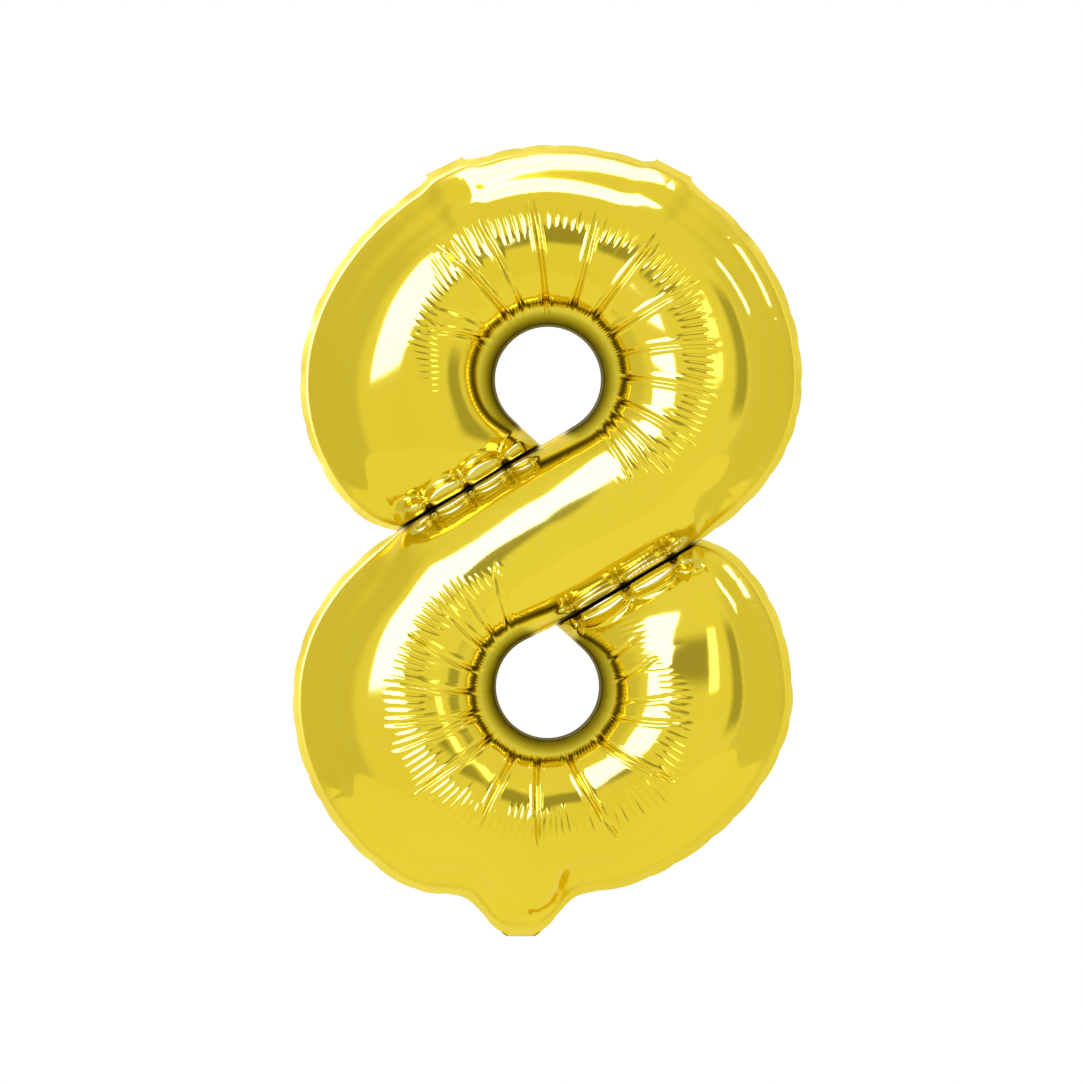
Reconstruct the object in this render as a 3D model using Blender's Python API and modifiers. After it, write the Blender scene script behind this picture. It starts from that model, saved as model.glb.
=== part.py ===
"""Foil number balloon, the figure 8: two metallised film panels heat-sealed face to face along the digit's
outline, and inflated into one long S-shaped tube that closes on itself at two die-cut slits.

Frame: metres, +Z up, +X to the viewer's right, the front of the digit faces -Y. The origin is the centre of the
figure, in the plane of the heat seal. Run with: blender --background --python part.py
"""

from math import acos, atan2, cos, degrees, hypot, pi, radians, sin

import bpy
import numpy as np

# ---------------------------------------------------------------- driving dimensions, metres and degrees
TUBE_DEPTH = 0.088  # how far each panel bulges from the seal plane
FILM = 0.0005  # modelled wall; the real laminate is about 0.03 mm
PLY_GAP = 0.0003  # clearance kept between faces that touch on the real balloon

OUTER_SEAL = 0.008  # width of the heat-sealed border round the outline
HOLE_SEAL = 0.0055  # the same round the two holes
SLIT_SEAL = 0.0035  # the same on each side of a slit
SLIT_CUT = 0.0012  # gap left by the die-cut slit
END_ROUND = 0.058  # length over which the tube's blind end rounds down to its slit
TACK = (0.006, 0.0055, 0.0003)  # uncut bridge of film across a slit: along it, across it, thick
TACK_PLACES = (0.22, 0.52, 0.80)  # shares of the slit's length

TAIL_WIDTH = 0.044
TAIL_LENGTH = 0.078
TAIL_MOUTH_RADIUS = 0.006
TAIL_HINGE = (-0.029, 0.0, -0.4316)  # on the crease where the tail folds
TAIL_START = 0.0025  # from the crease to the first flat of the tail
TAIL_FOLD = 120  # degrees that the stored tail is turned back from hanging straight down

VALVE_WIDTH = 0.026
VALVE_FILM = 0.0002
DUCT_LENGTH = 0.066
FLAP_LENGTH = 0.105
FLAP_ROOT_Z = -0.413

TAB_WIDTH = 0.044
TAB_LENGTH = 0.030
TAB_THICKNESS = 0.0010
TAB_CORNER = 0.007
TAB_HOLE_RADIUS = 0.0025
TAB_HOLE_REACH = 0.019  # from the crease to the hanging hole's centre
TAB_CREASE = 0.0012  # from the film's edge to the crease, and from there to the tab's flat
TAB_FOLD = 100  # degrees that the stored tab is turned back from lying in the seal plane
TAB_BUMP = (0.005, 6.4)  # root of a tab: height over the outline, half width in degrees

TUBE_SEGMENTS = 12
BAND_STATIONS = 9
LOOP_STATIONS = 30  # each lobe's, without the closer ones at its blind end, its tabs and its neck
END_STATIONS = (0, 0.006, 0.018, 0.036, 0.060)  # shares of the way round the lobe
# the hole's edge and the outline, at the same station, degrees
STATION_ANGLES = ((232, 208), (205, 193), (180, 176), (90, 90), (30, 26), (0, -8))
JOIN_ANGLE = -25  # where the hole's edge begins to belong to the band

# Each lobe is described as the upper one; the lower is turned half a turn about the origin.
# Angles are about the lobe's hole, anticlockwise from +X.
UPPER = {
    "centre": (0.004, 0.174),
    "half_width": 0.2735,
    "rise_left": (0.256, 1.85),  # height of the quarter ellipse, and its exponent
    "rise_right": (0.256, 2.0),
    "drop_right": 0.2165,
    "drop_left": 0.256,
    "flow_angle": 53.2,  # where the outline runs straight on into the slit
    "corner_angle": 188,
    "corner": ((-0.221, 0.016), (-0.260, 0.090)),  # pulls the outline round the blind end's corner
    "hole": (0.0005, 0.174),
    "hole_radius": 0.0578,
    "tip": (-0.0075, 0.1025),
    "tabs": (115.9, 59.2),
    "neck": None,
    "close_stations": ((124, 108, 7), (67, 51, 7)),  # first and last angle on the outline, count
}
LOWER = {
    "centre": (0.005, 0.173),
    "half_width": 0.2725,
    "rise_left": (0.224, 1.80),
    "rise_right": (0.246, 2.0),
    "drop_right": 0.2240,
    "drop_left": 0.245,
    "flow_angle": 54.1,
    "corner_angle": 190,
    "corner": ((-0.2165, 0.007), (-0.258, 0.077)),
    "hole": (0.0, 0.160),
    "hole_radius": 0.0562,
    "tip": (-0.0095, 0.0930),
    "tabs": (),
    "neck": {"flat": 0.2145, "x": 0.029, "height": 0.0425, "half_width": 0.050},
    "close_stations": ((103, 60, 15),),
}


# ---------------------------------------------------------------- outline of the film
def quarter(lobe, height, exponent, start, end, count):
    """Part of a superellipse round the lobe's centre, between two angles in degrees."""
    t = np.radians(np.linspace(start, end, count))
    power = 2 / exponent
    x = lobe["half_width"] * np.sign(np.cos(t)) * np.abs(np.cos(t)) ** power
    z = height * np.sign(np.sin(t)) * np.abs(np.sin(t)) ** power
    return np.c_[x + lobe["centre"][0], z + lobe["centre"][1]]


def flow_end(lobe):
    """Where the outline has turned parallel to the band and runs straight on into the slit."""
    return quarter(lobe, lobe["drop_right"], 2, 0, -lobe["flow_angle"], 2)[-1]


def notch(lobe):
    """Outer end of the lobe's slit, on the blind end's side of the cut."""
    other = LOWER if lobe is UPPER else UPPER
    start = -flow_end(other)
    along = np.array(lobe["tip"]) - start
    return start + SLIT_CUT * across(along / np.linalg.norm(along))


def slit_direction(lobe):
    """Unit vector along the lobe's slit, from its notch up to the tip of the hole."""
    along = np.array(lobe["tip"]) - notch(lobe)
    return along / np.linalg.norm(along)


def across(along):
    """The unit vector a quarter turn anticlockwise from this one."""
    return np.array([-along[1], along[0]])


def outer_path(lobe):
    """The lobe's outer outline, clockwise from the notch at its blind end to where it joins the band."""
    low_left = quarter(lobe, lobe["drop_left"], 2, lobe["corner_angle"], 180, 24)
    t = np.linspace(0, 1, 24)[:, None]
    near, far = np.array(lobe["corner"])
    pulled = 3 * t * (1 - t) * ((1 - t) * near + t * far)
    turn = (1 - t) ** 3 * notch(lobe) + pulled + t**3 * low_left[0]
    top_left = quarter(lobe, *lobe["rise_left"], 180, 90, 60)
    top_right = quarter(lobe, *lobe["rise_right"], 90, 0, 60)
    low_right = quarter(lobe, lobe["drop_right"], 2, 0, -lobe["flow_angle"], 50)
    path = np.concatenate([turn, low_left[1:], top_left[1:], top_right[1:], low_right[1:]])
    return with_neck(path, lobe) if lobe["neck"] else with_tab_roots(path, lobe)


def with_tab_roots(path, lobe):
    """The outline raised where the two fused plies run on into each hanging tab."""
    angle = angles_of(path, lobe)
    height, half_width = TAB_BUMP
    raised = sum(height * np.exp(-(((angle - tab) / half_width) ** 6)) for tab in lobe["tabs"])
    outward = path - np.array(lobe["hole"])
    return path + outward / np.linalg.norm(outward, axis=1)[:, None] * raised[:, None]


def with_neck(path, lobe):
    """The outline flattened where the neck gathers it, with the neck's own bulge added."""
    neck = lobe["neck"]
    soften = 0.0065
    x, z = path.T
    flat = lobe["centre"][1] + neck["flat"]
    lowered = -soften * np.logaddexp(-z / soften, -flat / soften)
    bulge = neck["height"] * np.exp(-(np.abs((x - neck["x"]) / neck["half_width"]) ** 2.6))
    far_side = z > lobe["centre"][1] + 0.08
    return np.c_[x, np.where(far_side, lowered + bulge, z)]


def hole_path(lobe):
    """The hole: a circle and a pointed tip joined by tangents, clockwise from the tip and back to it."""
    centre, tip = np.array(lobe["hole"]), np.array(lobe["tip"])
    radius = lobe["hole_radius"]
    away = tip - centre
    to_tip = degrees(atan2(away[1], away[0])) % 360
    half = degrees(acos(radius / hypot(*away)))
    t = np.radians(np.linspace(to_tip - half, to_tip - 360 + half, 90))
    circle = centre + radius * np.c_[np.cos(t), np.sin(t)]
    off = across(slit_direction(lobe)) * SLIT_CUT / 2
    return np.concatenate([[tip + off], circle, [tip - off]])


def angles_of(path, lobe):
    """The polar angle of each point about the lobe's hole, in degrees, falling all the way along the path."""
    centre = np.array(lobe["hole"])
    angle = np.degrees(np.unwrap(np.arctan2(path[:, 1] - centre[1], path[:, 0] - centre[0])))
    return angle + (360 if angle[0] < 0 else 0)


def at_angle(path, lobe, wanted):
    """Points of the path at these polar angles about the lobe's hole."""
    angle = angles_of(path, lobe)
    return np.c_[[np.interp(-wanted, -angle, path[:, k]) for k in (0, 1)]].T


# ---------------------------------------------------------------- stations across the tube
def loop_stations(lobe):
    """(hole side, outer side) of the stations from the blind end, clockwise, to the band."""
    hole, outer = hole_path(lobe), outer_path(lobe)
    first = (angles_of(hole, lobe)[0], angles_of(outer, lobe)[0])
    last = (JOIN_ANGLE, angles_of(outer, lobe)[-1])
    keys = np.array([first, *STATION_ANGLES, last])
    spans = np.abs(np.diff(keys, axis=0)).sum(axis=1)
    share = np.concatenate([[0], np.cumsum(spans)]) / spans.sum()
    t = np.concatenate([END_STATIONS, np.linspace(0.09, 1, LOOP_STATIONS)])
    for start, stop, count in lobe["close_stations"]:
        near, far = np.interp([-start, -stop], -keys[:, 1], share)
        t = np.concatenate([t[t < near - 0.012], np.linspace(near, far, count), t[t > far + 0.012]])
    inner = at_angle(hole, lobe, np.interp(t, share, keys[:, 0]))
    inner[0] = hole[0]
    return inner, at_angle(outer, lobe, np.interp(t, share, keys[:, 1]))


def side_of_band(lobe, other):
    """The band's side that belongs to lobe's hole: hole edge, slit, then the other lobe's outline."""
    hole = hole_path(lobe)
    on_band = hole[angles_of(hole, lobe) < JOIN_ANGLE]
    start = at_angle(hole, lobe, np.array([JOIN_ANGLE]))
    return np.concatenate([start, on_band, -outer_path(other)[-1:]])


def band_stations(count):
    """Stations square across the band, from the upper lobe to the lower one, their ends left out."""
    upper, lower = side_of_band(UPPER, LOWER), -side_of_band(LOWER, UPPER)[::-1]
    along = -slit_direction(UPPER)
    t = np.linspace(0, 1, count + 2)[1:-1]
    sides = []
    for side in (upper, lower):
        reach = side @ along
        wanted = reach[0] + t * (reach[-1] - reach[0])
        sides.append(np.c_[[np.interp(wanted, reach, side[:, k]) for k in (0, 1)]].T)
    return sides


def tube_stations():
    """Both film edges of every station along the S, and how many of them are each lobe's."""
    upper_inner, upper_outer = loop_stations(UPPER)
    lower_inner, lower_outer = loop_stations(LOWER)
    band_a, band_b = band_stations(BAND_STATIONS)
    side_a = np.concatenate([upper_inner, band_a, -lower_outer[::-1]])
    side_b = np.concatenate([upper_outer, band_b, -lower_inner[::-1]])
    return side_a, side_b, len(upper_inner), len(lower_inner)


# ---------------------------------------------------------------- the inflated panels
def seal_width(upper, lower):
    """Width of the sealed border along side a: the upper hole, its slit, then the lower lobe's outline."""
    third = BAND_STATIONS // 3
    width = np.full(upper + BAND_STATIONS + lower, OUTER_SEAL)
    width[: upper + third] = HOLE_SEAL
    width[upper + third : upper + BAND_STATIONS] = SLIT_SEAL
    return np.convolve(np.pad(width, 2, mode="edge"), np.ones(5) / 5, mode="valid")


def end_rounding(points, lobe, turn):
    """0 on a lobe's slit and its seal, rising along a quarter circle to 1 at END_ROUND from it."""
    distance = (turn * points - notch(lobe)) @ across(slit_direction(lobe)) - SLIT_SEAL
    share = np.clip(distance / END_ROUND, 0, 1)
    return np.sqrt(1 - (1 - share) ** 2)


def panel_points():
    """Grid of the front panel's outer face: stations by columns by (x, y, z)."""
    side_a, side_b, upper, lower = tube_stations()
    count = len(side_a)
    seal_a, seal_b = seal_width(upper, lower), seal_width(lower, upper)[::-1]
    inward = side_b - side_a
    inward /= np.linalg.norm(inward, axis=1)[:, None]
    seam_a = side_a + inward * seal_a[:, None]
    seam_b = side_b - inward * seal_b[:, None]
    phi = np.linspace(0, pi, TUBE_SEGMENTS + 1)
    grid = np.zeros((count, len(phi) + 2, 3))
    order = np.arange(count)
    for column, angle in enumerate(phi, start=1):
        share = (1 - cos(angle)) / 2
        flat = seam_a + (seam_b - seam_a) * share
        bulge = np.full(count, TUBE_DEPTH * sin(angle))
        bulge *= np.where(order < upper // 2, end_rounding(flat, UPPER, 1), 1)
        bulge *= np.where(order >= count - lower // 2, end_rounding(flat, LOWER, -1), 1)
        bulge *= neck_taper(flat)
        grid[:, column] = np.c_[flat[:, 0], -bulge, flat[:, 1]]
    for column, edge in ((0, side_a), (-1, side_b)):
        grid[:, column] = np.c_[edge[:, 0], np.zeros(count), edge[:, 1]]
    return grid


def neck_taper(flat):
    """The neck is flatter than the tube: the bulge falls off towards the crease."""
    neck = LOWER["neck"]
    beside = np.exp(-(np.abs((flat[:, 0] + neck["x"]) / (1.4 * neck["half_width"])) ** 2.6))
    below = np.clip((-flat[:, 1] - LOWER["centre"][1] - 0.17) / 0.085, 0, 1)
    return 1 - 0.55 * beside * below


def panel_mesh(name, side):
    """A panel's outer face as an open sheet. side is -1 for the front and +1 for the rear."""
    grid = panel_points()
    grid[:, :, 1] = -side * grid[:, :, 1] + side * (PLY_GAP / 2 + FILM)
    rows, columns = grid.shape[:2]
    faces = []
    for row in range(rows - 1):
        for column in range(columns - 1):
            corner = row * columns + column
            face = (corner, corner + 1, corner + columns + 1, corner + columns)
            faces.append(face if side > 0 else face[::-1])
    mesh = bpy.data.meshes.new(name)
    mesh.from_pydata(grid.reshape(-1, 3).tolist(), [], faces)
    mesh.shade_smooth()
    return mesh


def make_panel(name, side, collection, cutters, material):
    """One film panel: the inflated sheet given its wall, and the film bridges joined on across the slits."""
    panel = add_object(name, panel_mesh(name, side), collection, material)
    wall = panel.modifiers.new("wall", "SOLIDIFY")
    wall.thickness = FILM
    wall.offset = -1
    for lobe, turn in ((UPPER, 1), (LOWER, -1)):
        for place in TACK_PLACES:
            bridge = make_bridge(lobe, turn, place, side, cutters)
            join = panel.modifiers.new("tack", "BOOLEAN")
            join.operation = "UNION"
            join.object = bridge
    return panel


def make_bridge(lobe, turn, place, side, cutters):
    """A small uncut bridge of film across a slit, where its two borders stay tacked together."""
    start, along = notch(lobe), slit_direction(lobe)
    length = np.linalg.norm(np.array(lobe["tip"]) - start)
    x, z = turn * (start + along * length * place - across(along) * SLIT_CUT / 2)
    bpy.ops.mesh.primitive_cube_add(size=1)
    bridge = bpy.context.object
    bridge.name = f"bridge_{len(cutters.objects)}"
    bridge.scale = (TACK[0], TACK[2], TACK[1])
    bridge.location = (x, side * (PLY_GAP + FILM) / 2, z)
    bridge.rotation_euler = (0, -atan2(along[1], along[0]), 0)
    move_to(bridge, cutters)
    bridge.hide_render = True
    bridge.display_type = "WIRE"
    return bridge


# ---------------------------------------------------------------- flat films: tail, valve and tabs
def rounded_strip(width, start, length, radius):
    """Outline of a strip in its own plane: square where it begins at start, rounded at its far end."""
    half = width / 2
    far = start + length
    corner = [(half, start)]
    for centre_x, first in ((half - radius, 0), (radius - half, 90)):
        for step in range(7):
            t = radians(first + 90 * step / 6)
            corner.append((centre_x + radius * cos(t), far - radius + radius * sin(t)))
    return corner + [(-half, start)]


def circle(radius, centre_y, count=20):
    turn = [2 * pi * k / count for k in range(count)]
    return [(radius * cos(t), centre_y + radius * sin(t)) for t in turn]


def flat_film(name, outlines, thickness, collection, material):
    """A flat sheet cut to the outlines, in the XY plane of its own frame, and half its thickness either side."""
    curve = bpy.data.curves.new(name, "CURVE")
    curve.dimensions = "2D"
    curve.fill_mode = "BOTH"
    curve.extrude = thickness / 2
    for outline in outlines:
        spline = curve.splines.new("POLY")
        spline.points.add(len(outline) - 1)
        for point, (x, y) in zip(spline.points, outline):
            point.co = (x, y, 0, 1)
        spline.use_cyclic_u = True
    return add_object(name, curve, collection, material)


def hinge_empty(name, location, rotation, collection):
    """An empty on a hinge line: its X runs along the crease and its Y along the film that folds."""
    empty = bpy.data.objects.new(name, None)
    empty.empty_display_size = 0.02
    empty.location = location
    empty.rotation_euler = rotation
    collection.objects.link(empty)
    return empty


def make_tail(collection, foil, clear):
    """The filling tail, folded up behind the neck, with the two plies of the valve's duct inside it."""
    tilt = radians(TAIL_FOLD - 90)
    hinge = hinge_empty("tail_hinge", TAIL_HINGE, (tilt, 0, 0), collection)
    ply = rounded_strip(TAIL_WIDTH, TAIL_START, TAIL_LENGTH, TAIL_MOUTH_RADIUS)
    duct = rounded_strip(VALVE_WIDTH, TAIL_START + 0.001, DUCT_LENGTH, 0.002)
    duct_height = (PLY_GAP + VALVE_FILM) / 2
    ply_height = PLY_GAP * 1.5 + VALVE_FILM + FILM / 2
    for name, outline, thickness, height, material in (
        ("tail_front_ply", ply, FILM, -ply_height, foil),
        ("valve_duct_front_ply", duct, VALVE_FILM, -duct_height, clear),
        ("valve_duct_rear_ply", duct, VALVE_FILM, duct_height, clear),
        ("tail_rear_ply", ply, FILM, ply_height, foil),
    ):
        film = flat_film(name, [outline], thickness, collection, material)
        film.parent = hinge
        film.location = (0, 0, height)


def make_valve_flaps(collection, clear):
    """The valve's two inner flaps, lying together in the seal plane above the neck."""
    for name, side in (("valve_flap_front", -1), ("valve_flap_rear", 1)):
        root = (TAIL_HINGE[0], side * (PLY_GAP + VALVE_FILM) / 2, FLAP_ROOT_Z)
        hinge = hinge_empty(name + "_hinge", root, (pi / 2, 0, 0), collection)
        outline = rounded_strip(VALVE_WIDTH, 0, FLAP_LENGTH, 0.004)
        flap = flat_film(name, [outline], VALVE_FILM, collection, clear)
        flap.parent = hinge


def make_tab(name, angle, collection, foil):
    """A hanging tab: a fused ear of film with a punched hole, folded back about its crease."""
    outer = outer_path(UPPER)
    here, before, after = at_angle(outer, UPPER, np.array([angle, angle + 4, angle - 4]))
    run = (after - before) / np.linalg.norm(after - before)
    outward = np.array([-run[1], run[0]])
    crease = here + outward * TAB_CREASE
    turn = -atan2(run[1], run[0])
    hinge = hinge_empty(name + "_hinge", (crease[0], 0, crease[1]), (0, turn, 0), collection)
    outline = rounded_strip(TAB_WIDTH, TAB_CREASE, TAB_LENGTH, TAB_CORNER)
    hole = circle(TAB_HOLE_RADIUS, TAB_HOLE_REACH)
    tab = flat_film(name, [outline, hole], TAB_THICKNESS, collection, foil)
    tab.parent = hinge
    tab.rotation_euler = (radians(90 - TAB_FOLD), 0, 0)


# ---------------------------------------------------------------- scene plumbing
def film_material(name, colour, metallic, roughness, alpha=1.0):
    material = bpy.data.materials.new(name)
    material.use_nodes = True
    shader = material.node_tree.nodes["Principled BSDF"]
    shader.inputs["Base Color"].default_value = (*colour, 1)
    shader.inputs["Metallic"].default_value = metallic
    shader.inputs["Roughness"].default_value = roughness
    shader.inputs["Alpha"].default_value = alpha
    return material


def add_object(name, data, collection, material):
    obj = bpy.data.objects.new(name, data)
    data.materials.append(material)
    collection.objects.link(obj)
    return obj


def move_to(obj, collection):
    for holder in list(obj.users_collection):
        holder.objects.unlink(obj)
    collection.objects.link(obj)


def new_collection(name):
    collection = bpy.data.collections.new(name)
    bpy.context.scene.collection.children.link(collection)
    return collection


def main():
    for obj in list(bpy.data.objects):
        bpy.data.objects.remove(obj)
    balloon = new_collection("foil_number_balloon")
    cutters = new_collection("bridges_to_join")
    foil = film_material("gold_foil", (0.78, 0.62, 0.05), 1.0, 0.12)
    clear = film_material("clear_film", (0.92, 0.93, 0.93), 0.0, 0.25, 0.4)
    make_panel("front_panel", -1, balloon, cutters, foil)
    make_panel("rear_panel", 1, balloon, cutters, foil)
    make_tail(balloon, foil, clear)
    make_valve_flaps(balloon, clear)
    for name, angle in zip(("hang_tab_left", "hang_tab_right"), UPPER["tabs"]):
        make_tab(name, angle, balloon, foil)


main()
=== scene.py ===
"""Looks of the foil number balloon: two mirror-bright gold films sealed round a figure 8, and inflated."""

from math import acos, atan2, cos, degrees, hypot, pi, radians, sin

import bpy
import numpy as np
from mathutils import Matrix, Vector


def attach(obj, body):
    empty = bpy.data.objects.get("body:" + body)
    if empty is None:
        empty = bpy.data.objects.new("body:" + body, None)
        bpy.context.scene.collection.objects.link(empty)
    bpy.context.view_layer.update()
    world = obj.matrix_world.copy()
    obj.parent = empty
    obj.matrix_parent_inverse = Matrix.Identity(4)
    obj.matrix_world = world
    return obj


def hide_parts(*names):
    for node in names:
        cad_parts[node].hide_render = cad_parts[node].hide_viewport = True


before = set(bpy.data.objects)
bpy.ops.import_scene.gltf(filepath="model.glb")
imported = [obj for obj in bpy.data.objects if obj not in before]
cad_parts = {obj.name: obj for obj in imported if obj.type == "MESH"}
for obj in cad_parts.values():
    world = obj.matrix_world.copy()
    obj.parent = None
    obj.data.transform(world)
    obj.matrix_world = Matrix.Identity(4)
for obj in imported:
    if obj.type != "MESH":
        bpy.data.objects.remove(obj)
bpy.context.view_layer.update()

# ---------------------------------------------------------------- dimensions, metres and degrees
TUBE_DEPTH = 0.088  # how far each panel bulges from the seal plane
PLY_GAP = 0.0004  # between the two films at the seal
OUTER_SEAL, HOLE_SEAL, SLIT_SEAL = 0.0088, 0.0030, 0.0013  # width of the sealed border along each edge
SLIT_CUT = 0.0006  # width of the cut between a blind end and the band
JOIN_ANGLE = -25  # where the hole's edge begins to belong to the band
# matching places round the hole's edge and round the outline, as angles about the hole
STATION_ANGLES = ((232, 208), (205, 193), (180, 176), (90, 90), (30, 26), (0, -8))

SKIN_ROWS = 2100  # along the S-tube
SKIN_COLUMNS = 98  # across it
FLUTE_PITCH, RING_PITCH = 0.0082, 0.0032  # of the crest's flutes, and of the gathers round a hole's rim
HOLE_SLOPE, OUTER_SLOPE, SLIT_SLOPE = 3.4, 0.8, 6.4  # steepest rise of the film beside each kind of edge
OUTER_ROUNDING = 26  # how fast the rise beside the outline steepens, per metre from it
FOLD_DEPTH, FOLD_WIDTH = 0.0011, 0.0021
TACK_PRESS = 0.012  # how far the cushions beside a slit are pressed down where a bridge tacks it
BLIND_PUFF, BAND_PUFF = 0.0175, 0.0095  # width of the little cushions on each side of a slit

# Each lobe is described as the upper one; the lower is turned half a turn about the origin.
UPPER = {
    "centre": (0.004, 0.174),
    "half_width": 0.2735,
    "rise_left": (0.256, 1.85),
    "rise_right": (0.256, 2.0),
    "drop_right": 0.2165,
    "drop_left": 0.256,
    "flow_angle": 53.2,
    "corner_angle": 188,
    "corner": ((-0.221, 0.016), (-0.260, 0.090)),
    "hole": (0.0005, 0.174),
    "hole_radius": 0.0578,
    "tip": (-0.0075, 0.1025),
    "tacks": (0.043, 0.091, 0.138),  # along its slit, from the tip of the hole
    "tabs": (115.9, 59.2),
    "tab_root": (0.005, 6.4),
    "neck": None,
}
LOWER = {
    "centre": (0.005, 0.173),
    "half_width": 0.2725,
    "rise_left": (0.224, 1.80),
    "rise_right": (0.246, 2.0),
    "drop_right": 0.2240,
    "drop_left": 0.245,
    "flow_angle": 54.1,
    "corner_angle": 190,
    "corner": ((-0.2165, 0.007), (-0.258, 0.077)),
    "hole": (0.0, 0.160),
    "hole_radius": 0.0562,
    "tip": (-0.0095, 0.0930),
    "tacks": (0.024, 0.085, 0.145),
    "tabs": (),
    "neck": {"flat": 0.2145, "x": 0.029, "height": 0.0425, "half_width": 0.046, "power": 3.6},
}
LOBES = ((UPPER, 1), (LOWER, -1))  # each with the sign that turns it into its place
NECK_EDGE = -0.43  # height of the neck's lower edge
NECK_FOLDS = (  # start and end from the middle of that edge, depth and half width
    ((0.048, 0.037), (0.010, 0.018), 0.0022, 0.006),
    ((0.016, 0.026), (0.005, -0.001), 0.0026, 0.005),
)

TAIL_HINGE = (-0.029, -0.4316)  # the crease the filling tail folds about, in the front view
TAIL_FOLD, TAB_FOLD = 120, 100  # degrees that the stored tail and tabs are folded back
TAIL_WIDTH, TAIL_ROOT, TAIL_LENGTH = 0.044, 0.030, 0.078  # the root is the width at the crease
TAIL_PLY, TAIL_SKIN = 0.0009, 0.00012  # height of a ply over the tail's middle plane, half its thickness
TAIL_CORNER = 0.006
TAB_WIDTH, TAB_LENGTH, TAB_THICKNESS = 0.044, 0.030, 0.0010
TAB_CREASE, TAB_CORNER = 0.0012, 0.007
TAB_HOLE_RADIUS, TAB_HOLE_REACH = 0.0025, 0.019

# Folds that run down the inside of each loop: outer end (angle, radius) and inner end (angle, radius) about
# the hole's centre, and strength. Angles are measured in the front view, anticlockwise from +X.
UPPER_FOLDS = (
    (160.0, 0.148, 147.5, 0.066, 1.0),
    (147.5, 0.146, 141.0, 0.088, 0.5),
    (130.2, 0.188, 122.5, 0.068, 1.3),
    (124.0, 0.190, 122.0, 0.118, 0.5),
    (114.2, 0.186, 109.5, 0.076, 0.9),
    (95.7, 0.198, 91.0, 0.069, 1.5),
    (73.7, 0.196, 70.2, 0.074, 1.2),
    (52.5, 0.196, 52.7, 0.080, 1.3),
    (32.4, 0.194, 35.2, 0.082, 1.1),
    (11.0, 0.189, 18.2, 0.084, 1.0),
    (-5.5, 0.182, 0.8, 0.076, 1.0),
    (-24.7, 0.180, -16.4, 0.070, 1.1),
    (-37.0, 0.170, -27.5, 0.074, 0.9),
    (-44.0, 0.158, -35.0, 0.072, 0.9),
    (-50.5, 0.150, -43.0, 0.068, 0.8),
)
LOWER_FOLDS = (
    (112.0, 0.150, 122.0, 0.070, 0.8),
    (130.3, 0.137, 136.7, 0.064, 0.9),
    (141.2, 0.153, 148.6, 0.062, 0.9),
    (157.2, 0.168, 167.4, 0.070, 0.9),
    (176.3, 0.170, 183.5, 0.071, 1.0),
    (192.1, 0.181, 198.9, 0.074, 0.9),
    (201.4, 0.185, 203.4, 0.085, 0.7),
    (217.7, 0.189, 221.1, 0.075, 1.0),
    (242.8, 0.182, 243.0, 0.073, 1.2),
    (267.8, 0.184, 261.4, 0.070, 1.3),
    (296.3, 0.186, 286.0, 0.069, 1.3),
    (325.5, 0.181, 314.0, 0.070, 1.2),
    (347.3, 0.159, 338.3, 0.083, 0.9),
    (358.0, 0.150, 350.0, 0.078, 0.6),
    (377.0, 0.128, 366.0, 0.070, 0.7),
    (390.0, 0.112, 384.0, 0.068, 0.6),
)
# The band of fine flutes along the crest: angle, radius of its middle, half its length, height of a flute
UPPER_FLUTES = (
    (215, 0.125, 0.008, 0.0000),
    (190, 0.125, 0.012, 0.0003),
    (160, 0.138, 0.015, 0.0009),
    (135, 0.160, 0.017, 0.0012),
    (112, 0.172, 0.019, 0.0014),
    (90, 0.176, 0.019, 0.0016),
    (60, 0.172, 0.020, 0.0015),
    (35, 0.170, 0.020, 0.0015),
    (5, 0.164, 0.020, 0.0014),
    (-25, 0.156, 0.018, 0.0013),
    (-45, 0.146, 0.018, 0.0012),
    (-56, 0.140, 0.010, 0.0002),
    (-59, 0.140, 0.008, 0.0000),
)
LOWER_FLUTES = (
    (102, 0.135, 0.008, 0.0000),
    (105, 0.135, 0.010, 0.0002),
    (125, 0.132, 0.018, 0.0012),
    (150, 0.148, 0.020, 0.0014),
    (180, 0.152, 0.020, 0.0014),
    (210, 0.158, 0.020, 0.0013),
    (240, 0.158, 0.022, 0.0015),
    (270, 0.148, 0.024, 0.0015),
    (300, 0.158, 0.022, 0.0015),
    (325, 0.158, 0.020, 0.0014),
    (345, 0.146, 0.016, 0.0010),
    (370, 0.125, 0.014, 0.0008),
    (395, 0.110, 0.012, 0.0005),
    (425, 0.100, 0.008, 0.0000),
)

PAINTED_SHADE_AT_HOLE, PAINTED_SHADE_BY_SLIT = 0.95, 0.38  # strength of the painted shade darkening a hole's rim and of the paler painted tone by a slit
CAMERA_DISTANCE, FRAME_WIDTH, FRAME_CENTRE = 6.0, 1.1805, (-0.0065, -0.0027)
ROOM_LIGHT = 0.92
# Stretches of the room: azimuth from, to and softness, elevation the same, and brightness against the rest.
# Azimuth is from the camera's side of the figure, positive to the right.
WALLS = (
    (-10, 20, 9, 11, 22, 7, 0.44),
    (-125, -66, 18, -32, 40, 20, 0.80),
    (84, 130, 16, -32, 34, 18, 0.86),
    (54, 66, 9, -10, 24, 12, 0.50),
    (-180, 180, 1, -90, -60, 12, 1.03),
)
COOL, PALE_COOL = (0.10, 0.115, 1.0), (0.36, 0.39, 1.0)  # so that the yellow film's highlights are near white
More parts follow.
